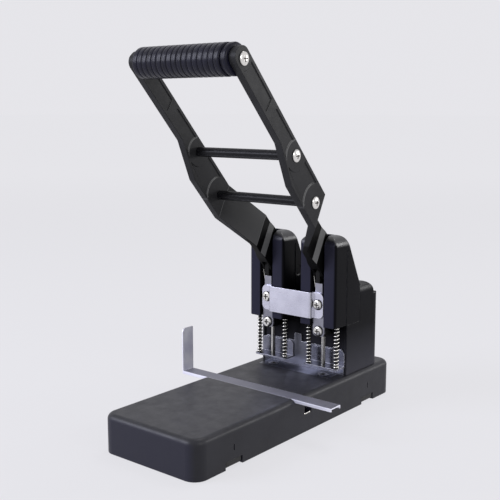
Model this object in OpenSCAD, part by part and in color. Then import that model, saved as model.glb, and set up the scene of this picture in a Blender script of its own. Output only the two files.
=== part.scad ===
// Heavy duty two-hole desk punch.
// Two cast towers carry a double-arm lever that drives a pair of hollow rams through
// a pin and a sliding slot. The rams run on sprung guide posts over a long flat base
// with a sliding paper guide and a clip-on bottom cover.
// X runs to the right, Y to the back, Z up. The origin is the middle of the underside.

/* [Holes and paper] */
// Distance between the two hole centres
hole_pitch = 80; // [76:1:84]
// Distance from a hole centre to the back edge of the sheets
edge_dist = 12; // [10:0.5:14]
// Diameter of a punch
punch_d = 5.5; // [5:0.1:6.5]
// Height of the paper gap under the throat plates
throat_h = 10; // [8:0.5:12]
// Travel of the rams from rest to the end of a stroke
stroke = 16; // [14.5:0.5:17]

/* [Base] */
// Width of the base
base_w = 143; // [138:1:160]
// Depth of the base
base_d = 390; // [370:1:420]
// Height of the base's flat top above the desk
base_h = 46; // [42:1:52]
// Radius of the base's upright corners
base_r = 16; // [15:1:24]
// Radius of the rounded edge round the top
base_fillet = 7; // [3:0.5:7]
// Thickness of the base's walls
base_wall = 4; // [3:0.5:5]
// Thickness of the rubber pads under the cover
pad_t = 1; // [0.6:0.1:2]
// Thickness of the bottom cover
cover_t = 2.5; // [2:0.1:3.5]
// Distance from the middle of the base to a pair of cover clips
clip_y = 135; // [120:1:150]
// Width of a clip notch
notch_w = 28; // [20:1:34]
// Height of a clip notch
notch_h = 10; // [8:0.5:12]

/* [Paper guide] */
// Middle of the guide bar, measured along Y
guide_y = -15; // [-40:1:0]
// Width of the guide bar
guide_w = 19.2; // [16:0.2:24]
// Depth of the guide bar's channel section
guide_h = 4; // [3.5:0.5:8]
// Sheet thickness of the guide bar
guide_t = 1.5; // [1.2:0.1:1.8]
// Reach of the bar to the right of the middle
guide_right = 121; // [100:1:140]
// Reach of the bar to its upright stop, left of the middle
guide_left = 109; // [95:1:115]
// Width of the upright stop
stop_w = 19.2; // [19.2:0.2:30]
// Height of the upright stop above the base
stop_h = 56; // [40:1:70]

/* [Towers and housing] */
// Distance from the back end of the base to the back edge of the sheets
sheet_back = 105; // [100:1:110]
// Width of a tower
tower_w = 54; // [52:1:60]
// Depth of the cheeks in front of the housing
cheek_d = 28; // [26:0.5:32]
// Height of a tower above the bottom of its cheeks
tower_h = 114.5; // [108:0.5:120]
// Width of the slot in a tower
slot_w = 19.7; // [18.5:0.1:22]
// Height of the foot of a tower's sloping back above the bottom of the cheeks
slope_up = 48.4; // [45:0.2:52]
// Distance along Y that the back slopes
slope_d = 32.2; // [28:0.2:34]
// Flat depth of a tower's top
tower_top_d = 25.4; // [22:0.2:28]
// Height of the rear block above the bottom of the cheeks
block_h = 49.2; // [47:0.2:53]
// Depth of the rear block behind the towers
block_d = 33.3; // [30:0.1:38]
// Height of the low rear step above the base
step_h = 97.3; // [90:0.1:102]
// Depth of the low rear step
step_d = 15; // [10:0.5:18]
// Wall thickness of the housing
house_wall = 3.5; // [3:0.1:4.5]
// Radius of the housing's rounded edges
house_r = 12; // [8:0.5:13]

/* [Guide posts and springs] */
// Distance from a punch to each of its guide posts
post_dx = 21; // [20:0.1:21.5]
// Distance that the posts stand in front of the punches
post_fwd = 2.5; // [1:0.1:4]
// Diameter of a guide post
post_d = 4; // [3.6:0.1:4.4]
// Length of a return spring at rest
spring_len = 54; // [50:0.5:58]
// Outside diameter of a return spring
spring_od = 7.6; // [7.2:0.1:8.2]
// Wire diameter of a return spring
wire_d = 1.3; // [1.1:0.05:1.4]
// Number of turns in a return spring
spring_turns = 13; // [10:1:16]
// Sheet thickness of the throat plates
plate_t = 2; // [1.6:0.1:2.6]
// Depth of a throat plate
plate_d = 20; // [19:0.5:24]
// Height of the back plate's sides above the base
back_h = 33; // [28:0.5:40]
// Height of the back plate's middle tab above its sides
tab_h = 10; // [4:0.5:14]

/* [Rams] */
// Distance from a tower's front to the front of its ram
ram_set = 4; // [3.6:0.1:5]
// Width of a ram
ram_w = 15; // [13:0.5:16]
// Depth of a ram
ram_d = 22; // [20:0.5:23]
// Width of a ram's narrow top
neck_w = 10.7; // [9:0.1:12]
// Length of a ram below the bottom of the cheeks
ram_low = 13.6; // [11:0.2:14]
// Height of a ram's top above the bottom of the cheeks
ram_up = 54.4; // [52:0.2:57]
// Width of a ram's face plate
face_w = 17; // [15:0.5:18]
// Thickness of a ram's face plate
face_t = 3; // [2:0.2:4]
// Height of the crosshead that runs on the posts
head_h = 12; // [10:0.5:14]
// Thickness of the tongue that holds the sliding slot
tongue_t = 6; // [5:0.2:6.4]
// Sheet thickness of the bridge between the rams
bridge_t = 2; // [1.5:0.1:2.4]
// Height of the bridge
bridge_h = 33; // [28:0.5:36]
// Distance that the bridge stands forward of its ears
bridge_fwd = 6; // [4:0.5:8]
// Height of the bridge's lower edge above the bottom of the cheeks
bridge_up = 9.6; // [8.5:0.2:13]
// Diameter of the ram screws' heads
ram_screw_d = 14; // [11:0.5:14.5]

/* [Lever] */
// Distance from the paper edge to the lever's pivot
pivot_back = 6; // [4:0.5:7]
// Height of the pivot above the bottom of the cheeks
pivot_up = 60.4; // [58:0.2:64]
// Diameter of the pivot pins
pivot_d = 12; // [10:0.5:13]
// Distance from the pivot to the drive pin
drive_r = 26; // [25:0.2:27]
// Diameter of the drive pins
drive_d = 7; // [6:0.2:8]
// Slope of the raised lever
lever_tilt = 48; // [46:0.5:50]
// Distance from the pivot to the grip along the arms
lever_len = 339; // [300:1:360]
// Distance from the pivot to the upper crossbar along the arms
bar1_at = 204; // [195:1:212]
// Distance from the pivot to the lower crossbar along the arms
bar2_at = 138; // [136:1:144]
// Width across the outside of the arms
handle_w = 153.6; // [146:0.2:165]
// Thickness of the upper arms
arm_t = 9.3; // [8:0.1:11]
// Thickness of the arms inside the towers
arm_low_t = 14; // [13:0.1:15]
// Skew of the two bend lines across the arms
arm_skew = 21; // [0:1:26]
// Width of the arms near the grip
arm_w = 23; // [20:0.5:25]
// Width of the arms below the widening
arm_wide = 40; // [36:0.5:42]
// Diameter of the grip
grip_d = 35; // [30:0.5:38]
// Number of ribs on the grip
grip_ribs = 21; // [14:1:26]
// Diameter of the grip's core
core_d = 16; // [14:0.5:20]
// Diameter of the crossbars
bar_d = 11.5; // [10.5:0.1:13]
// Diameter of the dome heads on the arms
dome_d = 15; // [12:0.5:16]
// Height of the dome heads on the arms
dome_h = 2.6; // [2.2:0.1:4.5]

/* [Fits] */
// Radial clearance of pins and posts in their bores
fit = 0.05; // [0.02:0.01:0.09]
// Free play between sliding pieces
play = 0.35; // [0.3:0.05:0.5]

/* [Hidden] */
$fn = 64;
eps = 0.01;
over = 1;

// Places along X and Y
sheet_y = base_d / 2 - sheet_back;
punch_x = hole_pitch / 2;
punch_y = sheet_y - edge_dist;
post_y = punch_y - post_fwd;
tower_y0 = sheet_y - cheek_d;
ram_y0 = tower_y0 + ram_set;
ram_y1 = ram_y0 + ram_d;
face_y1 = ram_y0 + face_t;
house_hw = punch_x + tower_w / 2;
tower_y1 = tower_y0 + tower_top_d + slope_d;
block_y1 = tower_y1 + block_d;
house_y1 = block_y1 + step_d;

// Heights
plate_z = base_h + throat_h;
plate_top = plate_z + plate_t;
head_gap = 0.5;
cheek_z = plate_top + spring_len - head_gap;
head_z = cheek_z + head_gap;
tower_top = cheek_z + tower_h;
slope_h = tower_h - slope_up;
block_top = cheek_z + block_h;
step_top = base_h + step_h;

// Sliding paper guide
groove_play = 0.3;
guide_low = 0.1;
groove_z = base_h - guide_low - guide_h;
trough_t = 3;

// Dies under the punches
die_plate_t = 3;
die_plate_w = hole_pitch + 30;
die_plate_d = 24;
die_d = 14;
die_h = 12;
die_block_h = 16;
chip_d = 9;

// Lever geometry
pivot_y = sheet_y + pivot_back;
pivot_z = cheek_z + pivot_up;
lever_swing = 2 * asin(stroke / (2 * drive_r));
drive_y = pivot_y - drive_r * cos(lever_swing / 2);
drive_z = pivot_z + drive_r * sin(lever_swing / 2);
drive_run = drive_r * (1 - cos(lever_swing / 2));
arm_out = handle_w / 2;
arm_in = arm_out - arm_t;
arm_back = arm_wide / 2;
grip_w = arm_back - arm_w / 2;
arm_front = arm_back - arm_wide;
hub_r = 11.5;
lobe_r = 8.5;
arm_end = 13;
bush_d = pivot_d + 4;
fork_w = tongue_t + 2 * play;

// Rams
head_hw = post_dx + post_d / 2 + 2;
head_d = 12;
pocket_top = head_z + head_h + 16;
post_hold = 11;
post_top = pocket_top + post_hold;
bridge_z = cheek_z + bridge_up;
bridge_screw_z = bridge_z + bridge_h / 2 + 1.4;
clamp_z = cheek_z - ram_low + 7;
ram_screw_h = 3.2;
thread_d = 6;
thread_grip = 11;
clamp_grip = punch_y - punch_d / 2 - 0.1 - ram_y0;
neck_z = bridge_z + bridge_h - 4;
tongue_z = cheek_z + ram_up + play;
tongue_r = drive_d / 2 + play + 4.2;
fork_r = tongue_r * sqrt(2) + 3.2;
punch_hold = 15;

// Base fittings
window_y = 1;
window_w = 14.4;
window_z = 22;
window_h = 10.4;
window_deep = 10;
strip_t = 1.6;
slit_w = 1.6;
slit_z = 19.4;
slit_h = 7.6;
cover_gap = 0.4;
clip_gap = 1.6;
pad_d = 22;
pad_side = 20;
pad_short = 20;
pad_end = 24;
pad_y = base_d / 2 - base_wall - pad_end;
bolt_d = 6;
seam_w = 0.9;
seam_d = 0.6;
seam_fwd = 2;
bolt_head_d = 11;
bolt_head_h = 3.5;
bolt_up = 14;
boss_d = 14;
boss_in = 2;

// Grip
rib_gap = 0.8;
grip_end = 9.5;
groove_deep = 2.5;

// Outline helpers

function unit(v) = v / norm(v);

// Half of the inner angle at corner i of a closed outline
function half_angle(p, i) =
  let (n = len(p), a = unit(p[(i + n - 1) % n] - p[i]), b = unit(p[(i + 1) % n] - p[i]))
  acos(a * b) / 2;

// Centre of the arc that rounds corner i
function arc_centre(p, r, i) =
  let (n = len(p), a = unit(p[(i + n - 1) % n] - p[i]), b = unit(p[(i + 1) % n] - p[i]))
  p[i] + unit(a + b) * r[i] / sin(half_angle(p, i));

// Where the arc at corner i meets the side towards corner j
function arc_end(p, r, i, j) = p[i] + unit(p[j] - p[i]) * r[i] / tan(half_angle(p, i));

// A straight-sided outline whose outward corners are rounded by true arcs
module round_outline(p, r) {
  n = len(p);
  difference() {
    polygon(p);
    for (i = [0 : n - 1])
      if (r[i] > 0) {
        c = arc_centre(p, r, i);
        e0 = arc_end(p, r, i, (i + n - 1) % n);
        e1 = arc_end(p, r, i, (i + 1) % n);
        difference() {
          polygon([c, 1.5 * e0 - 0.5 * c, 2 * p[i] - c, 1.5 * e1 - 0.5 * c]);
          translate(c)
            circle(r[i]);
        }
      }
  }
}

// Draws a (Y, Z) outline from x0 to x1
module along_x(x0, x1) {
  translate([x0, 0, 0])
    rotate([90, 0, 90])
      linear_extrude(x1 - x0)
        children();
}

// Draws an (X, Z) outline from y0 to y1
module along_y(y0, y1) {
  translate([0, y1, 0])
    rotate([90, 0, 0])
      linear_extrude(y1 - y0)
        children();
}

// A block between two corners
module block(a, b) {
  translate(a)
    cube(b - a);
}

// A round bar along X
module bar_x(d, x0, x1, y, z) {
  translate([x0, y, z])
    rotate([0, 90, 0])
      cylinder(d = d, h = x1 - x0);
}

// A round bar along Y
module bar_y(d, y0, y1, x, z) {
  translate([x, y1, z])
    rotate([90, 0, 0])
      cylinder(d = d, h = y1 - y0);
}

// Places children on the right-hand side, or mirrored to the left
module on_side(s) {
  if (s > 0)
    children();
  else
    mirror([1, 0, 0])
      children();
}

// Outline of a block with two rounded top corners
module round_top(w, h, r) {
  round_outline([[-w / 2, 0], [w / 2, 0], [w / 2, h], [-w / 2, h]], [0, 0, r, r]);
}

// A rectangle about the middle with four rounded corners, given by its half sizes
module round_sheet(hw, hd, r) {
  round_outline([[-hw, -hd], [hw, -hd], [hw, hd], [-hw, hd]], [r, r, r, r]);
}

// A block with upright rounded corners and a rounded top edge
module soft_block(w, d, h, r, f) {
  along_x(-w / 2 + r, w / 2 - r)
    round_top(d, h, f);
  along_y(-d / 2 + r, d / 2 - r)
    round_top(w, h, f);
  for (x = [-1, 1], y = [-1, 1])
    translate([x * (w / 2 - r), y * (d / 2 - r), 0])
      rotate_extrude()
        intersection() {
          round_top(2 * r, h, f);
          square([r, h]);
        }
}

// Puts children in the lever's frame: Y along the arms away from the grip, Z to the back
module lever_frame() {
  translate([0, pivot_y, pivot_z])
    rotate([-lever_tilt, 0, 0])
      children();
}

// A point of the rest position in the lever's frame
function in_lever(y, z) = [
  (y - pivot_y) * cos(lever_tilt) - (z - pivot_z) * sin(lever_tilt),
  (y - pivot_y) * sin(lever_tilt) + (z - pivot_z) * cos(lever_tilt)
];

// Base, cover and paper guide

guide_y0 = guide_y - guide_w / 2;
guide_y1 = guide_y + guide_w / 2;

module base_cavity() {
  hw = base_w / 2 - base_wall;
  hd = base_d / 2 - base_wall;
  top = base_h - base_wall;
  difference() {
    translate([0, 0, -over])
      linear_extrude(top + over)
        round_sheet(hw, hd, base_r - base_wall);
    block(
      [-hw - over, guide_y0 - trough_t, groove_z - trough_t],
      [hw + over, guide_y1 + trough_t, top + over]
    );
    block(
      [-die_plate_w / 2, punch_y - 17, base_h - die_block_h],
      [die_plate_w / 2, punch_y + 17, top + over]
    );
    block(
      [base_w / 2 - window_deep - base_wall, window_y - window_w / 2 - 3, window_z - 3],
      [hw + over, window_y + window_w / 2 + 3, window_z + window_h + 3]
    );
    for (p = bolt_places)
      translate([p[0], p[1], base_h - bolt_up])
        cylinder(d = boss_d, h = bolt_up);
  }
}

bolt_x = min(house_hw - house_wall, base_w / 2 - base_wall) - boss_d / 2 + boss_in;
bolt_y0 = sheet_y + 2 * plate_t + house_wall + boss_d / 2 - boss_in;
bolt_y1 = house_y1 - house_wall - boss_d / 2 + boss_in;
bolt_places = [
  [-bolt_x, bolt_y0], [bolt_x, bolt_y0], [-bolt_x, bolt_y1], [bolt_x, bolt_y1]
];

module clip_cuts() {
  for (s = [-1, 1], y = [-clip_y, clip_y]) {
    x0 = s > 0 ? base_w / 2 - base_wall - over : -base_w / 2 - over;
    x1 = x0 + base_wall + 2 * over;
    block([x0, y - notch_w / 2, -over], [x1, y + notch_w / 2, notch_h]);
    block([x0, y - slit_w / 2, slit_z], [x1, y + slit_w / 2, slit_z + slit_h]);
  }
}

module base() {
  color("#1b1b1d")
    difference() {
      translate([0, 0, pad_t])
        soft_block(base_w, base_d, base_h - pad_t, base_r, base_fillet);
      base_cavity();
      block(
        [-base_w, guide_y0 - groove_play, groove_z],
        [base_w, guide_y1 + groove_play, base_h + over]
      );
      block(
        [-die_plate_w / 2, punch_y - die_plate_d / 2, base_h - die_plate_t],
        [die_plate_w / 2, punch_y + die_plate_d / 2, base_h + over]
      );
      for (s = [-1, 1])
        translate([s * punch_x, punch_y, 0]) {
          translate([0, 0, base_h - die_h])
            cylinder(d = die_d + 2 * fit, h = die_h);
          cylinder(d = chip_d, h = base_h);
        }
      block(
        [base_w / 2 - window_deep, window_y - window_w / 2, window_z],
        [base_w / 2 + over, window_y + window_w / 2, window_z + window_h]
      );
      clip_cuts();
      for (p = bolt_places)
        translate([p[0], p[1], 0])
          cylinder(d = bolt_d + 2 * fit, h = base_h + over);
    }
}

module lock_strip() {
  x1 = base_w / 2 - 1;
  color("#c8cacd")
    block(
      [x1 - window_deep + 2, window_y - window_w / 2 + 0.5, window_z],
      [x1, window_y + window_w / 2 - 0.5, window_z + strip_t]
    );
}

module bottom_cover() {
  hw = base_w / 2 - base_wall - cover_gap;
  hd = base_d / 2 - base_wall - cover_gap;
  clip_hw = notch_w / 2 - clip_gap;
  color("#232325") {
    translate([0, 0, pad_t])
      linear_extrude(cover_t)
        round_sheet(hw, hd, base_r - base_wall - cover_gap);
    for (s = [-1, 1], y = [-clip_y, clip_y])
      on_side(s) {
        block([hw - 3, y - clip_hw, pad_t + cover_t - eps], [hw, y + clip_hw, notch_h - 0.8]);
        block([hw - eps, y - clip_hw, 4], [base_w / 2 - 0.8, y + clip_hw, notch_h - 0.8]);
      }
  }
}

module pad(y, w) {
  color("#2a2a2a")
    block([-w / 2, y - pad_d / 2, 0], [w / 2, y + pad_d / 2, pad_t]);
}

module front_pad() {
  pad(-pad_y, base_w - 2 * pad_side);
}

module centre_pad() {
  pad(0, base_w - 2 * pad_side - pad_short);
}

module rear_pad() {
  pad(pad_y, base_w - 2 * pad_side);
}

module paper_guide() {
  top = base_h - guide_low;
  y0 = guide_y - stop_w / 2;
  y1 = guide_y + stop_w / 2;
  z1 = base_h + stop_h;
  color("#b9bbbf") {
    difference() {
      block([-guide_left, guide_y0, groove_z], [guide_right, guide_y1, top]);
      block(
        [-guide_left + guide_t, guide_y0 + guide_t, groove_z - over],
        [guide_right + over, guide_y1 - guide_t, top - guide_t]
      );
    }
    along_x(-guide_left, -guide_left + guide_t)
      round_outline([[y0, groove_z], [y1, groove_z], [y1, z1], [y0, z1]], [0, 0, 1.5, 5]);
  }
}

// Dies

module die_plate() {
  color("#9a9ca0")
    difference() {
      block(
        [-die_plate_w / 2, punch_y - die_plate_d / 2, base_h - die_plate_t],
        [die_plate_w / 2, punch_y + die_plate_d / 2, base_h]
      );
      for (s = [-1, 1])
        translate([s * punch_x, punch_y, 0])
          cylinder(d = die_d + 2 * fit, h = base_h + over);
    }
}

module die(s) {
  color("#8d8f93")
    translate([s * punch_x, punch_y, base_h - die_h])
      difference() {
        cylinder(d = die_d, h = die_h);
        translate([0, 0, -over])
          cylinder(d = punch_d + 0.2, h = die_h + 2 * over);
        translate([0, 0, -over])
          cylinder(d = punch_d + 1.6, h = die_h / 2 + over);
      }
}

module left_die() {
  die(-1);
}

module right_die() {
  die(1);
}

// Housing, towers and plates

module housing_outline(inset) {
  round_outline(
    [
      [sheet_y + (inset > 0 ? 2 * plate_t : 0) + inset, base_h - (inset > 0 ? over : 0)],
      [sheet_y + (inset > 0 ? 2 * plate_t : 0) + inset, cheek_z - inset],
      [tower_y1 + inset, cheek_z - inset],
      [tower_y1 + inset, block_top - inset],
      [block_y1 - inset, block_top - inset],
      [block_y1 - inset, step_top - inset],
      [house_y1 - inset, step_top - inset],
      [house_y1 - inset, base_h - (inset > 0 ? over : 0)]
    ],
    [0, 0, 0, inset > 0 ? 0 : 5, inset > 0 ? house_r : house_r + 6, 0, inset > 0 ? 0 : 3, 0]
  );
}

module housing() {
  color("#1f1f21")
    difference() {
      intersection() {
        along_x(-house_hw, house_hw)
          housing_outline(0);
        along_y(sheet_y - over, house_y1 + over)
          round_top(2 * house_hw, block_top, house_r);
        linear_extrude(block_top + over)
          round_outline(
            [[-house_hw, sheet_y], [house_hw, sheet_y], [house_hw, house_y1], [-house_hw, house_y1]],
            [0, 0, house_r, house_r]
          );
      }
      difference() {
        along_x(-house_hw + house_wall, house_hw - house_wall)
          housing_outline(house_wall);
        for (p = bolt_places)
          translate([p[0], p[1], base_h])
            cylinder(d = boss_d, h = bolt_up);
        for (s = [-1, 1])
          block(
            [s * house_hw - house_wall - 6, house_y1 - 14, 0],
            [s * house_hw + house_wall + 6, house_y1, block_top]
          );
      }
      block(
        [-house_hw + house_wall, sheet_y - over, base_h - over],
        [house_hw - house_wall, sheet_y + plate_t, cheek_z - house_wall]
      );
      for (p = bolt_places)
        translate([p[0], p[1], base_h - over])
          cylinder(d = bolt_d + 2 * fit, h = bolt_up - 3 + over);
    }
}

module bolt(p) {
  color("#a5a7aa")
    translate([p[0], p[1], base_h - bolt_up]) {
      cylinder(d = bolt_d, h = 2 * bolt_up - 4);
      translate([0, 0, -bolt_head_h])
        cylinder(d = bolt_head_d, h = bolt_head_h);
    }
}

module left_front_bolt() {
  bolt(bolt_places[0]);
}

module right_front_bolt() {
  bolt(bolt_places[1]);
}

module left_rear_bolt() {
  bolt(bolt_places[2]);
}

module right_rear_bolt() {
  bolt(bolt_places[3]);
}

tab_x = -8.7;
tab_w = 11.4;

module back_plate() {
  hw = house_hw - house_wall - 0.5;
  z1 = base_h + back_h;
  color("#c4c6ca")
    along_y(sheet_y, sheet_y + plate_t) {
      round_outline([[-hw, base_h], [hw, base_h], [hw, z1], [-hw, z1]], [0, 0, 5, 5]);
      round_outline(
        [
          [tab_x - tab_w / 2, base_h], [tab_x + tab_w / 2, base_h],
          [tab_x + tab_w / 2, z1 + tab_h], [tab_x - tab_w / 2, z1 + tab_h]
        ],
        [0, 0, 2, 2]
      );
    }
}

module throat_plate(s) {
  x0 = punch_x - head_hw;
  x1 = punch_x + head_hw;
  y0 = sheet_y - plate_d;
  z1 = base_h + back_h - 1;
  color("#c4c6ca")
    on_side(s)
      difference() {
        union() {
          translate([0, 0, plate_z])
            linear_extrude(plate_t)
              round_outline([[x0, y0], [x1, y0], [x1, sheet_y], [x0, sheet_y]], [3, 3, 0, 0]);
          along_y(sheet_y - plate_t, sheet_y)
            round_outline([[x0, plate_z], [x1, plate_z], [x1, z1], [x0, z1]], [0, 0, 5, 5]);
        }
        translate([punch_x, punch_y, 0])
          cylinder(d = punch_d + 2 * play, h = plate_top + over);
        for (d = [-post_dx, post_dx])
          translate([punch_x + d, post_y, 0])
            cylinder(d = post_d + 2 * fit, h = plate_top + over);
      }
}

module left_throat_plate() {
  throat_plate(-1);
}

module right_throat_plate() {
  throat_plate(1);
}

tower_brow = 13;
tower_rear = 8;
tower_round = 14;

module tower_outline() {
  round_outline(
    [
      [tower_y0, cheek_z],
      [tower_y0, tower_top],
      [tower_y0 + tower_top_d, tower_top],
      [tower_y1, tower_top - slope_h],
      [tower_y1, cheek_z]
    ],
    [0, tower_brow, tower_rear, 0, 0]
  );
}

// The slot is open at the front, the top and the bottom, and stops short of the sloping back
module slot_outline() {
  back_wall = 3.2;
  lean = slope_d / slope_h;
  run = back_wall * norm([1, lean]);
  y_top = tower_y0 + tower_top_d - run - 6 * lean;
  y_low = tower_y1 - run;
  polygon([
    [tower_y0 - over, cheek_z - over],
    [tower_y0 - over, tower_top + 6],
    [y_top, tower_top + 6],
    [y_low, tower_top - slope_h],
    [y_low, tower_top - slope_h - 18],
    [ram_y1 + 6, tower_top - slope_h - 18],
    [ram_y1 + 6, cheek_z - over]
  ]);
}

module tower(s) {
  x0 = punch_x - tower_w / 2;
  x1 = punch_x + tower_w / 2;
  color("#1c1c1e")
    on_side(s)
      difference() {
        intersection() {
          along_x(x0, x1)
            tower_outline();
          translate([punch_x, 0, 0])
            along_y(tower_y0 - over, tower_y1 + over)
              round_top(tower_w, tower_top, tower_round);
          linear_extrude(tower_top + over)
            round_outline([[x0, tower_y0], [x1, tower_y0], [x1, tower_y1], [x0, tower_y1]], [4, 4, 0, 0]);
        }
        along_x(punch_x - slot_w / 2, punch_x + slot_w / 2)
          slot_outline();
        block(
          [punch_x - head_hw - 0.6, post_y - head_d / 2 - 0.8, cheek_z - over],
          [punch_x + head_hw + 0.6, post_y + head_d / 2 + 0.8, pocket_top]
        );
        for (d = [-post_dx, post_dx])
          translate([punch_x + d, post_y, pocket_top - over])
            cylinder(d = post_d + 2 * fit, h = post_hold + 1.2);
        bar_x(pivot_d + 2 * fit, x0 - over, x1 - 3, pivot_y, pivot_z);
        for (x = [x0 - over, x1 - seam_d])
          block(
            [x, sheet_y - seam_fwd, cheek_z - over],
            [x + seam_d + over, sheet_y - seam_fwd + seam_w, tower_top - 17]
          );
      }
}

module left_tower() {
  tower(-1);
}

module right_tower() {
  tower(1);
}

module pivot_pin(s) {
  color("#b4b6ba")
    on_side(s)
      bar_x(pivot_d, punch_x - tower_w / 2 + 0.5, punch_x + tower_w / 2 - 3.2, pivot_y, pivot_z);
}

module left_pivot_pin() {
  pivot_pin(-1);
}

module right_pivot_pin() {
  pivot_pin(1);
}

// Guide posts and their springs

module post(x) {
  color("#c9cbce")
    translate([x, post_y, plate_z])
      cylinder(d = post_d, h = post_top - plate_z);
}

module left_outer_post() {
  post(-punch_x - post_dx);
}

module left_inner_post() {
  post(-punch_x + post_dx);
}

module right_inner_post() {
  post(punch_x - post_dx);
}

module right_outer_post() {
  post(punch_x + post_dx);
}

// Centre line of a spring: a straight foot, the turns, and a straight top
coil_r = (spring_od - wire_d) / 2;
coil_rise = spring_len - 2 * wire_d;
coil_steps = 8 * spring_turns;
coil_sides = 6;
coil_path = concat(
  [[coil_r, 0, 0]],
  [
    for (i = [0 : coil_steps])
      let (a = 360 * i / 8)
      [coil_r * cos(a), coil_r * sin(a), wire_d + coil_rise * i / coil_steps]
  ],
  [[coil_r, 0, spring_len]]
);

// Direction of travel at point i of a path
function heading(p, i) =
  i == 0 ? unit(p[1] - p[0])
  : i == len(p) - 1 ? unit(p[i] - p[i - 1])
  : unit(unit(p[i + 1] - p[i]) + unit(p[i] - p[i - 1]));

// One ring of the wire, square to the path
function coil_ring(p, i) =
  let (t = heading(p, i), out = unit([p[i][0], p[i][1], 0]), up = cross(t, out))
  [
    for (k = [0 : coil_sides - 1])
      let (a = 360 * k / coil_sides)
      p[i] + wire_d / 2 * (cos(a) * out + sin(a) * up)
  ];

// Least free gap between turns, measured between points over half a turn apart
coil_gap = min([
  for (i = [0 : len(coil_path) - 1])
    for (j = [i + 5 : 1 : len(coil_path) - 1])
      norm(coil_path[j] - coil_path[i])
]) - wire_d;
echo(spring_gap_mm = coil_gap);

module spring(x) {
  n = len(coil_path);
  m = coil_sides;
  points = [for (i = [0 : n - 1]) each coil_ring(coil_path, i)];
  sides = [
    for (i = [0 : n - 2])
      for (k = [0 : m - 1])
        let (a = i * m + k, b = i * m + (k + 1) % m)
        each [[a, a + m, b + m], [a, b + m, b]]
  ];
  foot = [for (k = [1 : m - 2]) [0, k, k + 1]];
  head = [for (k = [1 : m - 2]) [(n - 1) * m, (n - 1) * m + k + 1, (n - 1) * m + k]];
  color("#d2d4d6")
    translate([x, post_y, plate_top])
      polyhedron(points = points, faces = concat(sides, foot, head), convexity = 8);
}

module left_outer_spring() {
  spring(-punch_x - post_dx);
}

module left_inner_spring() {
  spring(-punch_x + post_dx);
}

module right_inner_spring() {
  spring(punch_x - post_dx);
}

module right_outer_spring() {
  spring(punch_x + post_dx);
}

// Rams, punches and bridge

module ram(s) {
  x = punch_x;
  z0 = cheek_z - ram_low;
  ram_top = cheek_z + ram_up;
  color("#2b2b2e")
    on_side(s)
      difference() {
        union() {
          block([x - ram_w / 2, face_y1, z0], [x + ram_w / 2, ram_y1, neck_z]);
          block([x - neck_w / 2, face_y1, neck_z - eps], [x + neck_w / 2, ram_y1 - 4, ram_top]);
          block(
            [x - head_hw, post_y - head_d / 2, head_z],
            [x + head_hw, post_y + head_d / 2, head_z + head_h]
          );
          along_x(x - tongue_t / 2, x + tongue_t / 2)
            union() {
              translate([drive_y - tongue_r, tongue_z])
                square([2 * tongue_r, drive_z - tongue_z]);
              translate([face_y1, neck_z])
                square([drive_y + tongue_r - face_y1, tongue_z + over - neck_z]);
              translate([drive_y, drive_z])
                circle(tongue_r);
            }
        }
        along_x(x - tongue_t, x + tongue_t)
          for (end = [[-drive_run - 0.3, 0], [0.3, 0]])
            translate([drive_y, drive_z] + end)
              circle(drive_d / 2 + play);
        block(
          [x - tongue_t, drive_y - drive_run - 0.3, drive_z - drive_d / 2 - play],
          [x + tongue_t, drive_y + 0.3, drive_z + drive_d / 2 + play]
        );
        for (d = [-post_dx, post_dx])
          translate([x + d, post_y, head_z - over])
            cylinder(d = post_d + 4 * fit, h = head_h + 2 * over);
        translate([x, punch_y, z0 - over])
          cylinder(d = punch_d + 2 * fit, h = punch_hold + over);
        bar_y(thread_d + 2 * fit, ram_y0 - over, ram_y0 + clamp_grip + play, x, clamp_z);
        bar_y(thread_d + 2 * fit, ram_y0 - over, ram_y0 + thread_grip + play, x, bridge_screw_z);
      }
}

module left_ram() {
  ram(-1);
}

module right_ram() {
  ram(1);
}

// Bright plate on the front of a ram, narrow above the bridge
module ram_face(s) {
  x = punch_x;
  z0 = cheek_z - ram_low;
  ram_top = cheek_z + ram_up;
  color("#c9cbcf")
    on_side(s)
      difference() {
        along_y(ram_y0, face_y1) {
          round_outline(
            [
              [x - face_w / 2, z0], [x + face_w / 2, z0],
              [x + face_w / 2, neck_z], [x - face_w / 2, neck_z]
            ],
            [5, 5, 2, 2]
          );
          round_outline(
            [
              [x - neck_w / 2, z0 + 10], [x + neck_w / 2, z0 + 10],
              [x + neck_w / 2, ram_top], [x - neck_w / 2, ram_top]
            ],
            [0, 0, 1, 1]
          );
        }
        for (z = [clamp_z, bridge_screw_z])
          bar_y(thread_d + 2 * fit, ram_y0 - over, face_y1 + over, x, z);
      }
}

module left_ram_face() {
  ram_face(-1);
}

module right_ram_face() {
  ram_face(1);
}

module punch(s) {
  z0 = plate_z + 0.5;
  z1 = cheek_z - ram_low + punch_hold;
  color("#d0d2d5")
    difference() {
      translate([s * punch_x, punch_y, z0])
        cylinder(d = punch_d, h = z1 - z0);
      translate([s * punch_x, punch_y, z0 - over])
        cylinder(d = punch_d - 1.6, h = 12 + over);
    }
}

module left_punch() {
  punch(-1);
}

module right_punch() {
  punch(1);
}

bridge_y1 = ram_y0;
bridge_y0 = bridge_y1 - bridge_t - bridge_fwd;
leg_in = punch_x - slot_w / 2 + 0.8;
ear_end = punch_x + ram_w / 2 + 0.5;

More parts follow.
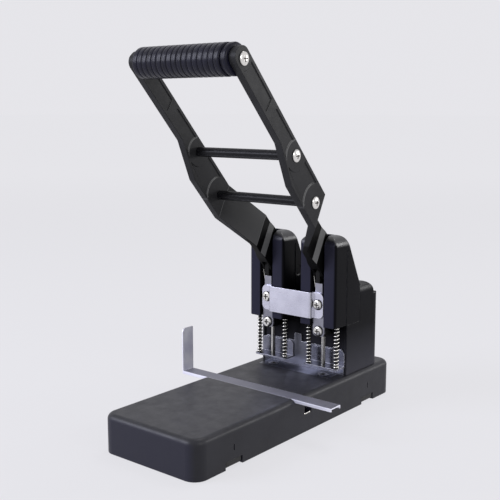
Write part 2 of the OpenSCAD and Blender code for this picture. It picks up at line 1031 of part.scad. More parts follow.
module ram_bridge() {
  t = bridge_t;
  r = 3;
  color("#c7c9cd")
    difference() {
      union() {
        translate([0, 0, bridge_z])
          linear_extrude(bridge_h)
            difference() {
              round_outline(
                [
                  [-leg_in - t, bridge_y0], [leg_in + t, bridge_y0],
                  [leg_in + t, bridge_y1], [-leg_in - t, bridge_y1]
                ],
                [r, r, 0, 0]
              );
              translate([-leg_in, bridge_y0 + t])
                square([2 * leg_in, bridge_fwd + t]);
            }
        for (s = [-1, 1])
          on_side(s)
            along_y(bridge_y1 - t, bridge_y1)
              round_outline(
                [
                  [leg_in, bridge_z], [ear_end, bridge_z],
                  [ear_end, bridge_z + bridge_h], [leg_in, bridge_z + bridge_h]
                ],
                [0, 7, 7, 0]
              );
      }
      for (s = [-1, 1])
        bar_y(thread_d + 2 * play, bridge_y0, bridge_y1 + over, s * punch_x, bridge_screw_z);
    }
}

// A pan head with a cross recess, its seat at y and its thread running to the back
module pan_screw(x, y, z, grip) {
  color("#dcdee0")
    difference() {
      union() {
        bar_y(thread_d, y - eps, y + grip, x, z);
        intersection() {
          bar_y(ram_screw_d, y - ram_screw_h, y, x, z);
          translate([x, y - ram_screw_h + 11, z])
            sphere(r = 11);
        }
      }
      for (a = [0, 90])
        translate([x, y - ram_screw_h, z])
          rotate([0, a, 0])
            cube([ram_screw_d * 0.55, 2.4, 1.3], center = true);
    }
}

module left_bridge_screw() {
  pan_screw(-punch_x, bridge_y1 - bridge_t, bridge_screw_z, thread_grip);
}

module right_bridge_screw() {
  pan_screw(punch_x, bridge_y1 - bridge_t, bridge_screw_z, thread_grip);
}

module left_clamp_screw() {
  pan_screw(-punch_x, ram_y0, clamp_z, clamp_grip);
}

module right_clamp_screw() {
  pan_screw(punch_x, ram_y0, clamp_z, clamp_grip);
}

// Lever

bar1_w = grip_w - 0.3;
bar2_w = -0.5;
bend_run = 45;
bend_at = bar2_at - 21.5;
bend_end = bend_at - bend_run;
bend_shift = arm_out - arm_t / 2 - punch_x;
bend_off = arm_t / 2 * tan(atan(bend_shift / bend_run) / 2);
bevel_at = bend_end - 13.3;
bevel_run = 8;
neck_in = punch_x - arm_t / 2;
neck_out = punch_x + arm_t / 2;
arm_low_in = punch_x - arm_low_t / 2;
arm_low_out = punch_x + arm_low_t / 2;
hub_run = 49;
widen_at = 233;
wide_at = 184;
pin_at = in_lever(drive_y, drive_z);

module arm_outline() {
  round_outline(
    [
      [-lever_len - arm_end, arm_back],
      [-lever_len - arm_end, arm_back - arm_w],
      [-widen_at, arm_back - arm_w],
      [-wide_at, arm_front],
      [pin_at[0], arm_front],
      [0, -hub_r],
      [0, hub_r],
      [-hub_run, arm_back]
    ],
    [10, 10, 0, 0, 0, 0, 0, 0]
  );
  circle(hub_r);
  translate(pin_at)
    circle(lobe_r);
}

// Plan of the right arm: a straight upper plate, a slanting plate, a short neck and,
// past a bevel, the thick lower end
module arm_plan() {
  polygon([
    [arm_out, -lever_len - 60],
    [arm_out, -bend_at + bend_off],
    [neck_out, -bend_end - bend_off],
    [neck_out, -bevel_at],
    [arm_low_out, -bevel_at + bevel_run],
    [arm_low_out, 60],
    [arm_low_in, 60],
    [arm_low_in, -bevel_at + bevel_run],
    [neck_in, -bevel_at],
    [neck_in, -bend_end + bend_off],
    [arm_in, -bend_at - bend_off],
    [arm_in, -lever_len - 60]
  ]);
}

// Shallow panels on both faces of the upper arm: they end at round bosses about the screws
// and at a leaning band between the grip and the upper screw
panel = 1.2;
panel_rim = 3;
panel_back = arm_back - panel_rim - 1;
panel_front = arm_back - arm_w + panel_rim;
band_at = 60;
band_run = 12;
band_lean = 4;
grip_boss_r = 12.5;
upper_boss_r = 17.8;
lower_boss_r = 23;

// Front edge of the panels where the arm widens
function widen_front(u) =
  panel_front + (arm_front - arm_back + arm_w) * (u + widen_at) / (widen_at - wide_at);

module arm_panels(x0, x1) {
  along_x(x0, x1) {
    difference() {
      round_outline(
        [
          [-lever_len + 4, panel_back],
          [-lever_len + 4, panel_front],
          [-lever_len + band_at + band_lean, panel_front],
          [-lever_len + band_at, panel_back]
        ],
        [0, 0, 2, 2]
      );
      translate(screw_places[0])
        circle(grip_boss_r);
    }
    difference() {
      round_outline(
        [
          [-lever_len + band_at + band_run, panel_back],
          [-lever_len + band_at + band_run + band_lean, panel_front],
          [-widen_at, panel_front],
          [-bar1_at - 2, widen_front(-bar1_at - 2)],
          [-bar1_at - 2, panel_back]
        ],
        [2, 2, 0, 0, 0]
      );
      translate(screw_places[1])
        circle(upper_boss_r);
    }
    difference() {
      polygon([
        [-bar1_at, panel_back],
        [-bar1_at, widen_front(-bar1_at)],
        [-wide_at, arm_front + panel_rim],
        [-bar2_at - 4, arm_front + panel_rim],
        [-bar2_at - 4, panel_back]
      ]);
      translate(screw_places[1])
        circle(upper_boss_r);
      translate(screw_places[2])
        circle(lower_boss_r);
    }
  }
}

// Cuts the outer edge of the upper end round
nose_r = 5;

module arm_nose() {
  end = -lever_len - arm_end;
  translate([arm_out - nose_r, end, -arm_wide])
    linear_extrude(2 * arm_wide)
      difference() {
        translate([0, -over])
          square([nose_r + over, nose_r + over]);
        translate([0, nose_r])
          circle(nose_r);
      }
}

module arm(s) {
  color("#1e1e20")
    on_side(s)
      lever_frame()
        difference() {
          intersection() {
            along_x(0, arm_out + over)
              arm_outline();
            rotate([arm_skew, 0, 0])
              translate([0, 0, -lever_len / 2])
                linear_extrude(lever_len)
                  arm_plan();
          }
          arm_nose();
          arm_panels(arm_out - panel, arm_out + over);
          arm_panels(arm_in - over, arm_in + panel);
          bar_x(bush_d + 2 * fit, 0, arm_out, 0, 0);
          bar_x(drive_d + 2 * fit, 0, arm_out, pin_at[0], pin_at[1]);
          bar_x(2 * fork_r, punch_x - fork_w / 2, punch_x + fork_w / 2, pin_at[0], pin_at[1]);
          for (p = screw_places)
            bar_x(thread_d + 2 * play, arm_in - over, arm_out + over, p[0], p[1]);
        }
}

screw_places = [[-lever_len, grip_w], [-bar1_at, bar1_w], [-bar2_at, bar2_w]];
bar_thread = 14;

module left_arm() {
  arm(-1);
}

module right_arm() {
  arm(1);
}

module bush(s) {
  color("#b08d4f")
    on_side(s)
      lever_frame()
        difference() {
          bar_x(bush_d, arm_low_in, arm_low_out, 0, 0);
          bar_x(pivot_d + 2 * fit, 0, arm_out, 0, 0);
        }
}

module left_bush() {
  bush(-1);
}

module right_bush() {
  bush(1);
}

module drive_pin(s) {
  color("#b4b6ba")
    on_side(s)
      bar_x(drive_d, arm_low_in, arm_low_out, drive_y, drive_z);
}

module left_drive_pin() {
  drive_pin(-1);
}

module right_drive_pin() {
  drive_pin(1);
}

module crossbar(p) {
  color("#19191b")
    lever_frame()
      difference() {
        bar_x(bar_d, -arm_in, arm_in, p[0], p[1]);
        for (a = [20 : 60 : 320])
          bar_x(1.6, -arm_in + 3, arm_in - 3, p[0] + bar_d / 2 * cos(a), p[1] + bar_d / 2 * sin(a));
        for (s = [-1, 1])
          on_side(s)
            bar_x(thread_d + 2 * fit, arm_in - bar_thread - 0.5, arm_in + over, p[0], p[1]);
      }
}

module upper_crossbar() {
  crossbar(screw_places[1]);
}

module lower_crossbar() {
  crossbar(screw_places[2]);
}

module grip_core() {
  p = screw_places[0];
  color("#8f9195")
    lever_frame()
      difference() {
        bar_x(core_d, -arm_in, arm_in, p[0], p[1]);
        for (s = [-1, 1])
          on_side(s)
            bar_x(thread_d + 2 * fit, arm_in - bar_thread - 0.5, arm_in + over, p[0], p[1]);
      }
}

// Ribbed sleeve with a groove and a smooth collar at the right-hand end
module grip_sleeve() {
  p = screw_places[0];
  r = grip_d / 2;
  x0 = -arm_in + 0.3;
  x1 = arm_in - 0.3;
  ribs_x1 = x1 - grip_end;
  rib_p = (ribs_x1 - x0) / grip_ribs;
  deep = 1.4;
  color("#151517")
    lever_frame()
      translate([0, p[0], p[1]])
        rotate([0, 90, 0])
          rotate_extrude()
            polygon(concat(
              [[core_d / 2 + fit, x0]],
              [
                for (i = [0 : grip_ribs - 1])
                  let (a = x0 + i * rib_p)
                  each [
                    [r - (i == 0 ? 2.5 : deep), a],
                    [r - 0.4, a + rib_gap],
                    [r, a + 2 * rib_gap],
                    [r, a + rib_p - 2 * rib_gap],
                    [r - 0.4, a + rib_p - rib_gap],
                    [r - deep, a + rib_p - 0.4]
                  ]
              ],
              [
                [r - groove_deep, ribs_x1],
                [r - groove_deep, ribs_x1 + 3.6],
                [r - 1, ribs_x1 + 4],
                [r - 0.4, ribs_x1 + 5],
                [r - 0.4, x1 - 1],
                [r - 1.4, x1],
                [core_d / 2 + fit, x1]
              ]
            ));
}

// A dome-headed screw through an arm, in the lever's frame
module dome_screw(s, p) {
  rim = 0.8;
  cap = dome_h - rim;
  ball = (dome_d * dome_d / 4 + cap * cap) / (2 * cap);
  grip = arm_t + bar_thread;
  color("#d8dadc")
    on_side(s)
      lever_frame()
        translate([arm_out, p[0], p[1]])
          rotate([0, 90, 0])
            difference() {
              union() {
                translate([0, 0, -grip])
                  cylinder(d = thread_d, h = grip + rim / 2);
                rotate_extrude()
                  intersection() {
                    square([dome_d / 2, dome_h]);
                    translate([0, dome_h - ball])
                      circle(ball);
                  }
              }
              for (a = [20, 110])
                translate([0, 0, dome_h])
                  rotate([0, 0, a])
                    cube([dome_d * 0.45, 1.4, 3], center = true);
            }
}

module left_grip_screw() {
  dome_screw(-1, screw_places[0]);
}

module right_grip_screw() {
  dome_screw(1, screw_places[0]);
}

module left_upper_screw() {
  dome_screw(-1, screw_places[1]);
}

module right_upper_screw() {
  dome_screw(1, screw_places[1]);
}

module left_lower_screw() {
  dome_screw(-1, screw_places[2]);
}

module right_lower_screw() {
  dome_screw(1, screw_places[2]);
}

base();
bottom_cover();
front_pad();
centre_pad();
rear_pad();
lock_strip();
paper_guide();
die_plate();
left_die();
right_die();
housing();
back_plate();
left_throat_plate();
right_throat_plate();
left_tower();
right_tower();
left_outer_post();
left_inner_post();
right_inner_post();
right_outer_post();
left_outer_spring();
left_inner_spring();
right_inner_spring();
right_outer_spring();
left_pivot_pin();
right_pivot_pin();
left_ram();
right_ram();
left_ram_face();
right_ram_face();
left_punch();
right_punch();
ram_bridge();
left_bridge_screw();
right_bridge_screw();
left_clamp_screw();
right_clamp_screw();
left_arm();
right_arm();
left_bush();
right_bush();
left_drive_pin();
right_drive_pin();
upper_crossbar();
lower_crossbar();
grip_core();
grip_sleeve();
left_grip_screw();
right_grip_screw();
left_upper_screw();
right_upper_screw();
left_lower_screw();
right_lower_screw();
left_front_bolt();
right_front_bolt();
left_rear_bolt();
right_rear_bolt();
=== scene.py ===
"""Looks of a heavy duty two-hole punch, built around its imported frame."""
import math

import bmesh
import bpy
from mathutils import Matrix, Vector


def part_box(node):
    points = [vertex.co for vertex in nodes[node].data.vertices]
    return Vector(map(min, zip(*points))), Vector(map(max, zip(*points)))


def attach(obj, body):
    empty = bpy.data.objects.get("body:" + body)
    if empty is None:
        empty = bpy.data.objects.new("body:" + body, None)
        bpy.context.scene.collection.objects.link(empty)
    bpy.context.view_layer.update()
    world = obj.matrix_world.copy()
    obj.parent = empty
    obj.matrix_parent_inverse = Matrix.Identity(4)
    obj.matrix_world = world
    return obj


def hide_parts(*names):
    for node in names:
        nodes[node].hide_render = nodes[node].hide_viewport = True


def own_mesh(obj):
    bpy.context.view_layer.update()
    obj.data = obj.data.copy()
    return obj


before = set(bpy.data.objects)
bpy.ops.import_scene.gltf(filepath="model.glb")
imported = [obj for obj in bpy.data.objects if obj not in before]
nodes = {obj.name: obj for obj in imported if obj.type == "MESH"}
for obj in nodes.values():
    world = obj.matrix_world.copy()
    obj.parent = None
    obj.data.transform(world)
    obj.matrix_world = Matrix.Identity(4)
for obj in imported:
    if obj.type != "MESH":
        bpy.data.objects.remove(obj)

MM = 0.001
RIGHT = (1, 0, 0)
FORWARD = (0, -1, 0)
BACK = (0, 1, 0)
UP = (0, 0, 1)

scene = bpy.context.scene
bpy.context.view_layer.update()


# Camera, placed as the photograph was taken

CAM_AT = Vector((0.6393, -0.8068, 0.3808))
CAM_TURN = math.radians(39.11)
CAM_DIP = math.radians(9.31)
CAM_FAR = 60.0
SENSOR = 36.0
FOCAL_PX = 866.0
FRAME_PX = 500.0


def make_camera():
    right = Vector((math.cos(CAM_TURN), math.sin(CAM_TURN), 0))
    ahead = Vector((
        -math.sin(CAM_TURN) * math.cos(CAM_DIP),
        math.cos(CAM_TURN) * math.cos(CAM_DIP),
        -math.sin(CAM_DIP),
    ))
    up = right.cross(ahead)
    turn = Matrix((right, up, -ahead)).transposed().to_4x4()
    data = bpy.data.cameras.new("camera")
    data.sensor_width = SENSOR
    data.lens = FOCAL_PX / FRAME_PX * SENSOR
    data.clip_end = CAM_FAR
    cam = bpy.data.objects.new("camera", data)
    scene.collection.objects.link(cam)
    cam.matrix_world = Matrix.Translation(CAM_AT) @ turn
    scene.camera = cam


# Node graphs

class Graph:
    """A material and short ways to add and join its nodes."""

    # Shares along a direction, between which a mask comes in or fades
    FACING_UP = (0.55, 1.0)
    SAME_WAY = (0.972, 0.992)
    ROUND_RIM = (0.62, 0.88)
    OFF_EDGE = (0.80, 0.985)

    BEVEL_SAMPLES = 4

    def __init__(self, name):
        self.material = bpy.data.materials.new(name)
        self.material.use_nodes = True
        self.tree = self.material.node_tree
        self.bsdf = self.tree.nodes["Principled BSDF"]
        space = self.add("ShaderNodeTexCoord")
        self.place = space.outputs["Object"]
        self.facing = space.outputs["Normal"]

    def add(self, kind, **settings):
        node = self.tree.nodes.new(kind)
        for key, value in settings.items():
            setattr(node, key, value)
        return node

    def feed(self, value, socket):
        """Join an output to a socket, or set the socket to a plain value."""
        if isinstance(value, bpy.types.NodeSocket):
            self.tree.links.new(value, socket)
        else:
            socket.default_value = value

    def stretch(self, scale):
        """The place on the piece, with its axes scaled."""
        node = self.add("ShaderNodeMapping")
        self.feed(scale, node.inputs["Scale"])
        self.feed(self.place, node.inputs["Vector"])
        return node.outputs["Vector"]

    def noise(self, scale, detail=3.0, rough=0.5, vector=None):
        node = self.add("ShaderNodeTexNoise")
        self.feed(scale, node.inputs["Scale"])
        self.feed(detail, node.inputs["Detail"])
        self.feed(rough, node.inputs["Roughness"])
        self.feed(vector or self.place, node.inputs["Vector"])
        return node.outputs["Fac"]

    def spread(self, value, low, high, start=0.3, end=0.7):
        """A value that runs from low to high while another runs from start to end.

        Where no range is given, it is the one that noise mostly fills.
        """
        node = self.add("ShaderNodeMapRange")
        self.feed(value, node.inputs["Value"])
        self.feed(start, node.inputs["From Min"])
        self.feed(end, node.inputs["From Max"])
        self.feed(low, node.inputs["To Min"])
        self.feed(high, node.inputs["To Max"])
        return node.outputs["Result"]

    def mask(self, value, start=0.3, end=0.7):
        """A share that grows from 0 to 1 while a value runs from start to end."""
        return self.spread(value, 0.0, 1.0, start, end)

    def math(self, how, a, b=0.0):
        node = self.add("ShaderNodeMath", operation=how)
        self.feed(a, node.inputs[0])
        self.feed(b, node.inputs[1])
        return node.outputs["Value"]

    def vector(self, how, a, b=None):
        node = self.add("ShaderNodeVectorMath", operation=how)
        self.feed(a, node.inputs[0])
        if b is not None:
            self.feed(b, node.inputs[1])
        return node

    def mix(self, share, a, b):
        node = self.add("ShaderNodeMix", data_type="RGBA")
        self.feed(share, node.inputs["Factor"])
        for key, value in (("A", a), ("B", b)):
            colour = (*value, 1.0) if isinstance(value, tuple) else value
            self.feed(colour, node.inputs[key])
        return node.outputs["Result"]

    def bump(self, height, distance, strength, below=None):
        """A shading normal that follows a height, laid over another normal if given."""
        node = self.add("ShaderNodeBump")
        self.feed(strength, node.inputs["Strength"])
        self.feed(distance, node.inputs["Distance"])
        self.feed(height, node.inputs["Height"])
        if below is not None:
            self.feed(below, node.inputs["Normal"])
        return node.outputs["Normal"]

    def along(self, vector, way):
        """The part of a vector that points one way."""
        return self.vector("DOT_PRODUCT", vector, way).outputs["Value"]

    def up(self):
        """A mask of the faces that point up."""
        return self.mask(self.along(self.facing, UP), *self.FACING_UP)

    def faces(self, way):
        """A mask of the flat faces whose normal is a given one, or its mirror image in X."""
        parts = self.add("ShaderNodeSeparateXYZ")
        self.feed(self.facing, parts.inputs["Vector"])
        both = self.add("ShaderNodeCombineXYZ")
        self.feed(self.math("ABSOLUTE", parts.outputs["X"]), both.inputs["X"])
        self.feed(parts.outputs["Y"], both.inputs["Y"])
        self.feed(parts.outputs["Z"], both.inputs["Z"])
        return self.mask(self.along(both.outputs["Vector"], way), *self.SAME_WAY)

    def arc(self, centre, radius, full, width, way):
        """A mask of an arc about an axis along X, on one side of its centre.

        It is whole up to full from the arc, and has faded at width.
        """
        out = self.vector("SUBTRACT", self.place, centre).outputs["Vector"]
        spoke = self.vector("MULTIPLY", out, (0, 1, 1)).outputs["Vector"]
        reach = self.vector("LENGTH", spoke).outputs["Value"]
        off = self.math("ABSOLUTE", self.math("SUBTRACT", reach, radius))
        turn = self.math("DIVIDE", self.along(spoke, way), reach)
        line = self.spread(off, 1.0, 0.0, full, width)
        return self.math("MULTIPLY", line, self.mask(turn, *self.ROUND_RIM))

    def soft_edge(self, radius):
        """A shading normal that is rounded off along the edges."""
        node = self.add("ShaderNodeBevel", samples=self.BEVEL_SAMPLES)
        self.feed(radius, node.inputs["Radius"])
        return node.outputs["Normal"]

    def edge(self, radius):
        """A mask that is 1 along the edges and fades to 0 within a radius of them."""
        geometry = self.add("ShaderNodeNewGeometry")
        same = self.vector("DOT_PRODUCT", self.soft_edge(radius), geometry.outputs["Normal"])
        return self.spread(same.outputs["Value"], 1.0, 0.0, *self.OFF_EDGE)

    def finish(self, colour, rough, normal, **others):
        """Fill the shader's sockets, the others by their names."""
        sockets = self.bsdf.inputs
        self.feed(colour, sockets["Base Color"])
        self.feed(rough, sockets["Roughness"])
        self.feed(normal, sockets["Normal"])
        for key, value in others.items():
            self.feed(value, sockets[key.replace("_", " ")])
        return self.material


def grey(value, blue=1.0):
    return (value, value, value * blue)


# Painted light and shade on the arms: places are metres down the raised lever, and facings are those of
# the right arm

LEVER_DOWN = (0.0, 0.6691, -0.7431)
PLATE_FACING = (0.83, -0.50, 0.25)
PLATE_HIGHLIGHT_SPAN = (-0.190, -0.138)
PLATE_HIGHLIGHT_LEAST = 0.25
PLATE_HIGHLIGHT_TONE = grey(0.115)
NECK_AT = (-0.1440, -0.1420)
NECK_SHADE_TONE = grey(0.004)
NECK_LEVEL = 0.06
CHAMFER_FACING = (0.96, -0.25, 0.13)
CHAMFER_HIGHLIGHT_TONE = grey(0.19)
BOSSES = (("right_upper_screw", 17.8 * MM), ("right_lower_screw", 23.0 * MM))
RIM_SIDE = (0.0, -0.80, 0.60)
RIM_WIDE = 1.2 * MM
RIM_FULL = 0.3 * RIM_WIDE
RIM_HIGHLIGHT_TONE = grey(0.22)


# Finishes, with noise scales in waves per metre

DUST_TONE = (0.16, 0.16, 0.17)
FLECK_TONE = (0.070, 0.070, 0.073)
LINE_TONE = grey(0.001)
RUB_REACH = 0.9 * MM
CUT_REACH = 1.1 * MM
FRONT_LIT_FACES = (0.75, 0.98)
SIDE_FACES = (0.5, 0.95)
UPPER_FACES = (0.0, 0.5)


def moulded(
    name, dark, light, rough, grain, depth, level, worn,
    top_level=None, front=None, rounding=0.7 * MM, foot=None,
):
    """Black moulded plastic: a fine even grain, slow changes of tone, dust on top, pale rubbed edges.

    top_level is the sheen of upper faces, and front the tone of painted light on the faces towards the
    user.
    foot is a paler tone painted near the foot as painted light, with the heights between which it comes
    in.
    """
    g = Graph(name)
    tone = g.mix(g.mask(g.noise(23.0, detail=4.0)), dark, light)
    # painted light: a paler, bluish tone on the faces towards the user
    if front:
        tone = g.mix(g.mask(g.along(g.facing, FORWARD), *FRONT_LIT_FACES), tone, front)
    # painted light: a paler tone towards the foot
    if foot:
        foot_light_tone, fade_high, fade_low = foot
        tone = g.mix(g.mask(g.along(g.place, UP), fade_high, fade_low), tone, foot_light_tone)
    specks = g.spread(g.noise(140.0, detail=5.0, rough=0.6), 0.0, 0.10, start=0.4, end=0.75)
    tone = g.mix(g.math("MULTIPLY", g.up(), specks), tone, DUST_TONE)
    wear = g.spread(g.noise(90.0, detail=5.0, rough=0.65), 0.15, 1.0)
    colour = g.mix(g.math("MULTIPLY", g.edge(RUB_REACH), wear), tone, worn)
    gloss = g.spread(g.noise(61.0, detail=5.0, rough=0.6), rough - 0.05, rough + 0.07)
    skin = g.bump(g.noise(grain, detail=2.0), depth, strength=0.6, below=g.soft_edge(rounding))
    sheen = level
    if top_level:
        sheen = g.spread(g.along(g.facing, UP), level, top_level, *UPPER_FACES)
    return g.finish(colour, gloss, skin, Specular_IOR_Level=sheen)


def painted(name, dark, light, rough, level, worn, bent=False):
    """Cast metal under black paint: orange peel over a soft uneven casting, thin at the edges.

    A bent arm gets painted highlights, paler towards its bend, on the chamfer of its neck and on the front
    rims of its bosses, and painted shade below the bend.
    """
    g = Graph(name)
    tone = g.mix(g.mask(g.noise(35.0, detail=4.0)), dark, light)
    fleck = g.spread(g.noise(900.0, detail=2.0), 0.0, 0.20, start=0.62, end=0.75)
    tone = g.mix(fleck, tone, FLECK_TONE)
    wear = g.spread(g.noise(110.0, detail=5.0, rough=0.65), 0.15, 1.0)
    colour = g.mix(g.math("MULTIPLY", g.edge(RUB_REACH), wear), tone, worn)
    gloss = g.spread(g.noise(80.0, detail=4.0, rough=0.6), rough - 0.05, rough + 0.05)
    wave = g.bump(g.noise(60.0, detail=2.0), 0.12 * MM, strength=0.35)
    skin = g.bump(g.noise(620.0, detail=2.0), 0.05 * MM, strength=0.7, below=wave)
    sheen = level
    if bent:
        down = g.along(g.place, LEVER_DOWN)
        neck = g.mask(down, *NECK_AT)
        # painted shade: the neck below the bend is darker
        colour = g.mix(neck, colour, NECK_SHADE_TONE)
        # painted highlight on the slanted plates, growing towards the bend
        plate = g.math("MULTIPLY", g.faces(PLATE_FACING), g.spread(down, PLATE_HIGHLIGHT_LEAST, 1.0, *PLATE_HIGHLIGHT_SPAN))
        colour = g.mix(plate, colour, PLATE_HIGHLIGHT_TONE)
        # painted highlight on the neck chamfer
        colour = g.mix(g.faces(CHAMFER_FACING), colour, CHAMFER_HIGHLIGHT_TONE)
        # painted highlights on the front rims of the bosses
        for screw, radius in BOSSES:
            low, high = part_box(screw)
            rim = g.arc((low + high) / 2, radius, RIM_FULL, RIM_WIDE, RIM_SIDE)
            colour = g.mix(rim, colour, RIM_HIGHLIGHT_TONE)
        sheen = g.spread(neck, level, NECK_LEVEL, 0.0, 1.0)
    return g.finish(colour, gloss, skin, Specular_IOR_Level=sheen)


def rubbed(name, colour, crest, rough, grain, level, lines=None):
    """Rubber that is rubbed smooth where a hand or a desk touches it, with fine lines round X if asked."""
    g = Graph(name)
    tone = g.mix(g.mask(g.noise(grain * 0.08, detail=4.0)), colour, crest)
    gloss = g.spread(g.noise(grain * 0.3, detail=3.0), rough - 0.07, rough + 0.07)
    skin = g.bump(g.noise(grain, detail=3.0), 0.06 * MM, strength=0.4)
    if lines:
        rings = g.noise(1.0, detail=2.0, vector=g.stretch((lines, 9.0, 9.0)))
        tone = g.mix(g.spread(rings, 0.0, 0.7, start=0.55, end=0.70), tone, LINE_TONE)
        skin = g.bump(rings, 0.5 * MM, strength=0.8, below=skin)
    return g.finish(tone, gloss, skin, Specular_IOR_Level=level)


def rolled(name, dull, bright, rough, grain, rim, top=None, side=None, lip=None):
    """Bare sheet or bar metal: fine lines, cloudy patches, a bright cut edge.

    grain has the waves per metre along each axis. top is the tone of painted shade on the faces that point
    up. side has the node whose depth the painted light and shade of the faces to +X runs over, and its
    tones in front and behind. lip is how metallic the cut edge is.
    """
    g = Graph(name)
    lines = g.noise(1.0, detail=3.0, rough=0.6, vector=g.stretch(grain))
    cloud = g.noise(38.0, detail=4.0)
    tone = g.mix(g.mask(cloud), dull, bright)
    # painted shade: faces that point up take the top tone
    if top:
        tone = g.mix(g.up(), tone, top)
    # painted light and shade on the faces to +X, running from the front tone to the back tone
    if side:
        whole, front_tone, back_tone = side
        low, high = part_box(whole)
        painted_side_light = g.mix(g.mask(g.along(g.place, BACK), low.y, high.y), front_tone, back_tone)
        tone = g.mix(g.mask(g.along(g.facing, RIGHT), *SIDE_FACES), tone, painted_side_light)
    cut = g.edge(CUT_REACH)
    colour = g.mix(cut, tone, rim)
    gloss = g.math("ADD", g.spread(lines, rough - 0.07, rough + 0.07), g.spread(cloud, -0.04, 0.04))
    skin = g.bump(lines, 0.02 * MM, strength=0.5)
    metal = 1.0
    if lip is not None:
        metal = g.spread(cut, 1.0, lip, 0.0, 1.0)
    return g.finish(colour, gloss, skin, Metallic=metal)


def turned(name, dull, bright, rough, way=None, span=(0.0, 1.0), dark=None):
    """Turned metal, plated, oiled or bare: screws, pins, posts, bushes and spring wire.

    Faces are painted dark, as painted shade and painted dark reflection, while their share along way runs
    from the first to the second value of span.
    """
    g = Graph(name)
    tone = g.mix(g.mask(g.noise(420.0, detail=4.0, rough=0.6)), dull, bright)
    # painted shade and dark reflection by facing
    if way:
        share = g.math("ABSOLUTE", g.along(g.facing, way))
        tone = g.mix(g.mask(share, *span), tone, dark)
    gloss = g.spread(g.noise(950.0, detail=3.0), rough - 0.04, rough + 0.06)
    skin = g.bump(g.noise(1600.0, detail=2.0), 0.01 * MM, strength=0.5)
    return g.finish(tone, gloss, skin, Metallic=1.0)


# Materials

PALE_EDGE = grey(0.10, 1.05)
PAINT_EDGE = grey(0.085, 1.02)
CUT_EDGE = (0.84, 0.84, 0.90)
LINES_LEVEL = (30.0, 30.0, 900.0)
LINES_ACROSS = (30.0, 700.0, 700.0)
LINES_ON_GUIDE = (25.0, 800.0, 800.0)

# base_black has painted light on its front faces
base_black = moulded(
    "base_black", grey(0.016, 1.3), grey(0.022, 1.3), rough=0.42, grain=2400.0, depth=0.05 * MM,
    level=0.26, worn=PALE_EDGE, top_level=0.34, front=grey(0.021, 1.7),
)
cover_black = moulded(
    "cover_black", grey(0.016), grey(0.022), rough=0.52, grain=1900.0, depth=0.06 * MM,
    level=0.35, worn=PALE_EDGE,
)
# tower_black has painted light on its front faces
tower_black = moulded(
    "tower_black", grey(0.004, 1.3), grey(0.006, 1.3), rough=0.31, grain=2600.0, depth=0.03 * MM,
    level=0.045, worn=PALE_EDGE, top_level=0.75, front=grey(0.031, 1.65), rounding=2.2 * MM,
)
pin_black = moulded(
    "pin_black", grey(0.004, 1.3), grey(0.006, 1.3), rough=0.31, grain=2600.0, depth=0.03 * MM,
    level=0.045, worn=grey(0.020),
)
# house_black has painted light near its foot
house_black = moulded(
    "house_black", grey(0.0030, 1.4), grey(0.0050, 1.4), rough=0.36, grain=2600.0, depth=0.04 * MM,
    level=0.05, worn=PALE_EDGE, top_level=0.35, rounding=2.5 * MM,
    foot=(grey(0.050, 1.25), 106.0 * MM, 50.0 * MM),
)
# arm_black has painted highlights and painted shade on the arms
arm_black = painted(
    "arm_black", grey(0.025, 1.06), grey(0.035, 1.06), rough=0.36, level=0.08, worn=PAINT_EDGE, bent=True
)
bar_black = painted(
    "bar_black", grey(0.007, 1.2), grey(0.011, 1.2), rough=0.32, level=0.13, worn=PAINT_EDGE
)
ram_black = painted("ram_black", grey(0.006), grey(0.010), rough=0.45, level=0.12, worn=PAINT_EDGE)
grip_black = rubbed(
    "grip_black", grey(0.007, 2.2), grey(0.011, 2.2), rough=0.28, grain=1500.0, level=0.20, lines=620.0
)
pad_black = rubbed("pad_black", grey(0.020), grey(0.032), rough=0.75, grain=900.0, level=0.35)
# zinc_sheet has painted shade and light on the ram bridge's wall to +X, dark in front and bright behind
zinc_sheet = rolled(
    "zinc_sheet", (0.58, 0.58, 0.69), (0.72, 0.72, 0.83), rough=0.30, grain=LINES_LEVEL, rim=CUT_EDGE,
    side=("ram_bridge", (0.16, 0.16, 0.19), (1.0, 1.0, 1.0)),
)
ram_sheet = rolled(
    "ram_sheet", (0.23, 0.23, 0.275), (0.34, 0.34, 0.395), rough=0.34, grain=LINES_LEVEL,
    rim=(0.55, 0.55, 0.62),
)
# zinc_plate is a darker copy of the zinc finish, its darkness partly painted shade
zinc_plate = rolled(
    "zinc_plate", (0.12, 0.125, 0.155), (0.23, 0.235, 0.275), rough=0.34, grain=LINES_ACROSS, rim=CUT_EDGE
)
# throat_sheet has painted shade on its upper faces, and a pale, barely metallic cut edge that is partly a
# real cut edge and partly a painted highlight
throat_sheet = rolled(
    "throat_sheet", (0.14, 0.145, 0.185), (0.27, 0.275, 0.335), rough=0.30, grain=LINES_ACROSS,
    rim=(0.86, 0.86, 0.93), top=(0.012, 0.012, 0.018), lip=0.15,
)
# guide_metal has painted shade on its upper faces
guide_metal = rolled(
    "guide_metal", (0.80, 0.80, 0.94), (0.94, 0.94, 1.0), rough=0.55, grain=LINES_ON_GUIDE, rim=CUT_EDGE,
    top=(0.24, 0.24, 0.28),
)
tool_steel = turned("tool_steel", (0.50, 0.49, 0.48), (0.66, 0.65, 0.63), rough=0.22)
oiled_steel = turned("oiled_steel", grey(0.030), grey(0.055), rough=0.34)
# punch_steel has a painted dark stripe of reflection down the rods
punch_steel = turned(
    "punch_steel", (0.56, 0.55, 0.53), (0.74, 0.73, 0.70), rough=0.18,
    way=(0.79, -0.62, 0.0), span=(0.92, 0.98), dark=grey(0.05),
)
# arm_screw has painted dark reflection on the rims of the heads
arm_screw = turned(
    "arm_screw", (0.74, 0.72, 0.68), (0.88, 0.86, 0.82), rough=0.11,
    way=RIGHT, span=(0.88, 0.55), dark=grey(0.06),
)
